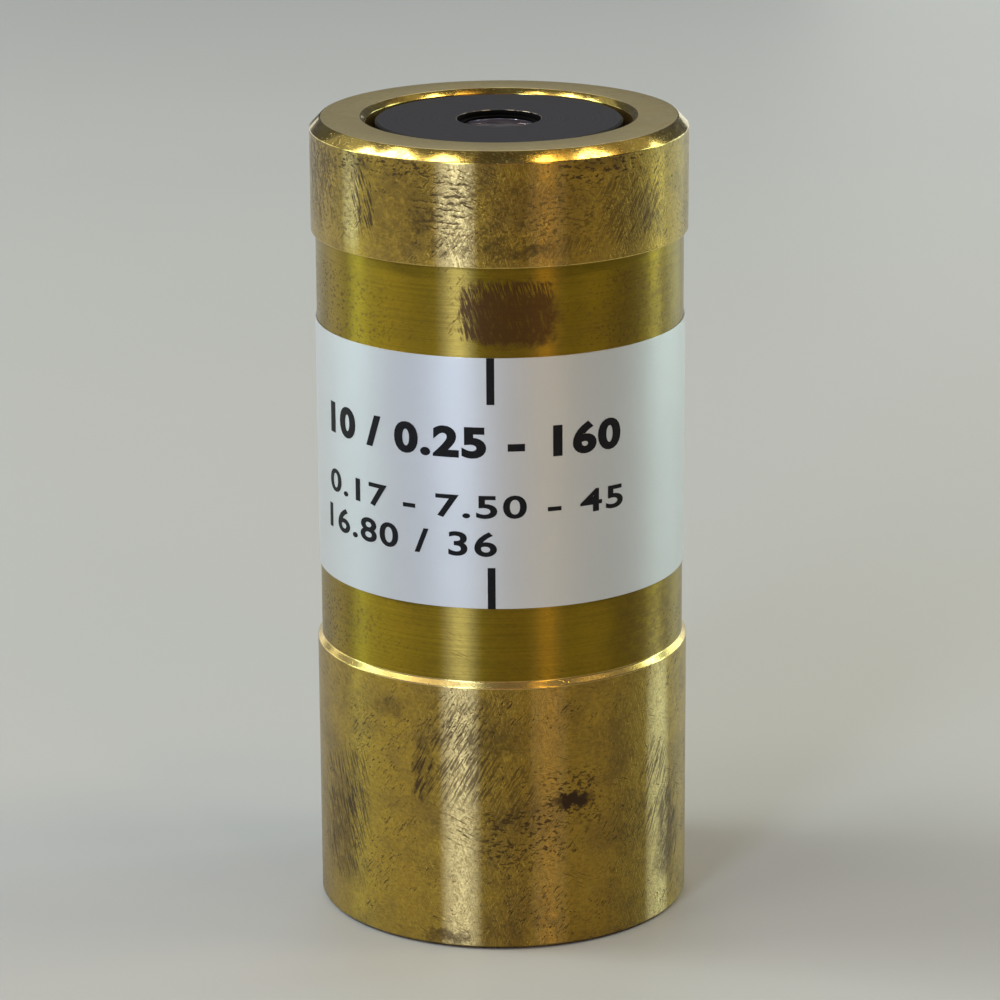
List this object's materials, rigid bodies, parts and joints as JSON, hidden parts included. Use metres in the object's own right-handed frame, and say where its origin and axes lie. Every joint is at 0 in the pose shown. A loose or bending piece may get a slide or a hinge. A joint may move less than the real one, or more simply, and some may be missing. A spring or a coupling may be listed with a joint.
{
  "type": "microscope objective",
  "caption": "Cylindrical brass objective with a front collar, a foil label in a shallow relief, a dark front plate with a small recessed lens, and an open recess at the rear.",
  "frame": {"origin": "centre of the rear face, on the optical axis", "axes": "+Z along the optical axis, out of the front lens; -Y towards the index line of the label"},
  "size_m": [0.0254, 0.0254, 0.0548],
  "materials": {
    "turned_brass": "turned, scuffed and tarnished",
    "label_foil": "satin silver foil",
    "black_anodised": "matt black anodised",
    "front_plate": "dark grey satin anodised",
    "blackened_brass": "chemically blackened",
    "coated_glass": "polished, antireflection coated"
  },
  "bodies": {
    "root": {"outer_body": "turned_brass", "label": "label_foil", "lens_barrel": "black_anodised", "lock_ring": "blackened_brass", "front_cell": "front_plate", "front_lens": "coated_glass", "front_lens_ring": "blackened_brass", "first_doublet_cell": "blackened_brass", "first_doublet_crown": "coated_glass", "first_doublet_flint": "coated_glass", "first_doublet_ring": "blackened_brass", "first_spacer": "black_anodised", "middle_lens_cell": "blackened_brass", "middle_lens": "coated_glass", "middle_lens_ring": "blackened_brass", "aperture_stop": "black_anodised", "second_spacer": "black_anodised", "rear_doublet_cell": "blackened_brass", "rear_doublet_crown": "coated_glass", "rear_doublet_flint": "coated_glass", "rear_doublet_ring": "blackened_brass", "rear_spacer": "black_anodised", "eye_lens_cell": "blackened_brass", "eye_lens": "coated_glass", "eye_lens_ring": "blackened_brass", "stack_ring": "blackened_brass"}
  },
  "joints": []
}
